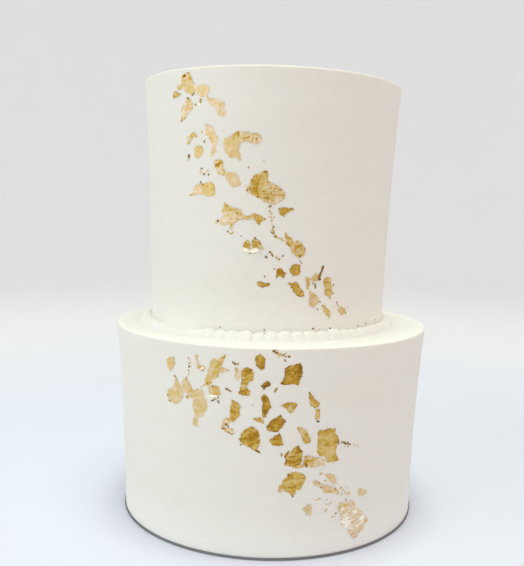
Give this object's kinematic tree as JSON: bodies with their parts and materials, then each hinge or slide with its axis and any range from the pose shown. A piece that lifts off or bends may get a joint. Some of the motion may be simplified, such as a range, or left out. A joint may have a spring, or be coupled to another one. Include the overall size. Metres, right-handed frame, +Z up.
{
  "type": "tiered wedding cake",
  "caption": "Round tiered wedding cake in smooth white buttercream, with a piped bead border and a slanting drift of torn gold leaf down its front.",
  "frame": {"origin": "centre of the card's underside, on the surface that the cake stands on", "axes": "+Z up through the tiers, -Y towards the front with the gold leaf, +X to the right as seen from the front"},
  "size_m": [0.2146, 0.215, 0.2886],
  "materials": {
    "buttercream": "smooth white buttercream, scraped level, softly matt",
    "gold_leaf": "torn, crinkled edible gold leaf",
    "card": "thin dark card, matt"
  },
  "bodies": {
    "root": {"cake_card": "card", "bottom_tier": "buttercream", "top_tier": "buttercream", "bead_border": "buttercream"}
  },
  "joints": []
}
